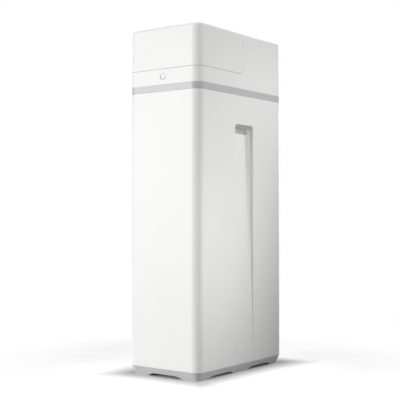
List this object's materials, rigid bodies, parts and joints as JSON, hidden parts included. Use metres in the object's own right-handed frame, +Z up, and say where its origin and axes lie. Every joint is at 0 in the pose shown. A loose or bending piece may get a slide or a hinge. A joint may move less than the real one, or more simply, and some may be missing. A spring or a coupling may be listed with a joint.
{
  "type": "water softener",
  "caption": "Slim white cabinet water softener with a hinged salt lid, grey band and plinth, tapered hand scoops, and a resin tank, motor valve, bypass and brine float inside",
  "frame": {"origin": "the middle of the footprint, on the floor", "axes": "+X to the right of someone facing the front, +Y to the back where the pipes leave, +Z up"},
  "size_m": [0.285, 0.5264, 1.101],
  "materials": {
    "white_shell": "moulded white, satin gloss",
    "grey_plinth": "moulded grey, fine texture",
    "grey_band": "moulded light grey, satin",
    "button_grey": "moulded light grey, satin",
    "button_white": "moulded white, satin",
    "steel": "turned and zinc plated",
    "circuit_board": "solder mask on glass laminate",
    "panel_grey": "bare printed-film grey",
    "dark_window": "tinted clear window",
    "dark_plastic": "glass-filled plastic",
    "tank_blue": "filament-wound tank, clear coat",
    "resin_amber": "bed of small beads",
    "natural_plastic": "uncoloured moulding",
    "ceramic_white": "lapped ceramic",
    "black_rubber": "moulded rubber",
    "nozzle_red": "moulded red",
    "turbine_blue": "moulded blue",
    "brass": "turned brass"
  },
  "bodies": {
    "housing": {"base": "grey_plinth", "cabinet": "white_shell", "trim_band": "grey_band", "head_cover": "white_shell", "hinge_pins": "steel", "button_bezel": "button_grey", "button_board": "circuit_board", "control_panel": "panel_grey", "display_window": "dark_window", "display_module": "dark_plastic", "display_board": "circuit_board", "power_jack": "dark_plastic", "cover_screws": "steel", "resin_tank": "tank_blue", "tank_boot": "dark_plastic", "resin_bed": "resin_amber", "riser_tube": "natural_plastic", "bottom_distributor": "natural_plastic", "top_strainer": "natural_plastic", "valve_body": "dark_plastic", "neck_oring": "black_rubber", "fixed_disc": "ceramic_white", "valve_bonnet": "dark_plastic", "bonnet_screws": "steel", "drive_motor": "steel", "injector_cap": "dark_plastic", "injector_nozzle": "nozzle_red", "brine_fitting": "natural_plastic", "drain_fitting": "dark_plastic", "meter_spider": "natural_plastic", "bypass_body": "dark_plastic", "coupling_clips": "natural_plastic", "union_nuts": "dark_plastic", "inlet_adapter": "brass", "outlet_adapter": "brass", "salt_grid": "natural_plastic", "brine_well": "natural_plastic", "well_cap": "natural_plastic", "brine_valve": "natural_plastic", "brine_tube": "natural_plastic", "overflow_elbow": "dark_plastic", "overflow_nut": "dark_plastic", "overflow_gasket": "black_rubber"},
    "lid": {"salt_lid": "white_shell"},
    "button": {"front_button": "button_white"},
    "menu": {"menu_key": "button_white"},
    "down": {"down_key": "button_white"},
    "up": {"up_key": "button_white"},
    "regen": {"regen_key": "button_white"},
    "rotor": {"moving_disc": "ceramic_white", "rotor_shaft": "natural_plastic", "drive_gear": "natural_plastic"},
    "pinion": {"motor_pinion": "steel"},
    "turbine": {"meter_turbine": "turbine_blue"},
    "inlet_plug": {"inlet_handle": "nozzle_red"},
    "outlet_plug": {"outlet_handle": "nozzle_red"},
    "float": {"float_rod": "steel", "brine_float": "nozzle_red"}
  },
  "joints": [
    {"name": "lid_hinge", "type": "hinge", "parent": "housing", "child": "lid", "pos_m": [0, -0.027, 1.092], "axis": [-1, 0, 0], "range_deg": [0, 110]},
    {"name": "button_press", "type": "slide", "parent": "housing", "child": "button", "axis": [0, 1, 0], "range_m": [0, 0.0012], "stiffness_N_per_m": 500},
    {"name": "menu_press", "type": "slide", "parent": "housing", "child": "menu", "axis": [0, 0, -1], "range_m": [0, 0.0008], "stiffness_N_per_m": 400},
    {"name": "down_press", "type": "slide", "parent": "housing", "child": "down", "axis": [0, 0, -1], "range_m": [0, 0.0008], "stiffness_N_per_m": 400},
    {"name": "up_press", "type": "slide", "parent": "housing", "child": "up", "axis": [0, 0, -1], "range_m": [0, 0.0008], "stiffness_N_per_m": 400},
    {"name": "regen_press", "type": "slide", "parent": "housing", "child": "regen", "axis": [0, 0, -1], "range_m": [0, 0.0008], "stiffness_N_per_m": 400},
    {"name": "rotor_spin", "type": "hinge", "parent": "housing", "child": "rotor", "pos_m": [0, 0.1267, 1.04], "axis": [0, 0, 1], "continuous": true},
    {"name": "pinion_spin", "type": "hinge", "parent": "housing", "child": "pinion", "pos_m": [0, 0.0697, 1.04], "axis": [0, 0, 1], "continuous": true},
    {"name": "turbine_spin", "type": "hinge", "parent": "housing", "child": "turbine", "pos_m": [-0.038, 0.1787, 0.965], "axis": [0, 1, 0], "continuous": true},
    {"name": "inlet_turn", "type": "hinge", "parent": "housing", "child": "inlet_plug", "pos_m": [0.038, 0.2247, 0.98], "axis": [0, 0, 1], "range_deg": [0, 90]},
    {"name": "outlet_turn", "type": "hinge", "parent": "housing", "child": "outlet_plug", "pos_m": [-0.038, 0.2247, 0.98], "axis": [0, 0, 1], "range_deg": [0, 90]},
    {"name": "float_lift", "type": "slide", "parent": "housing", "child": "float", "axis": [0, 0, 1], "range_m": [0, 0.02]}
  ],
  "couplings": [
    {"joint": "pinion_spin", "follows": "rotor_spin", "ratio": -3.75}
  ]
}
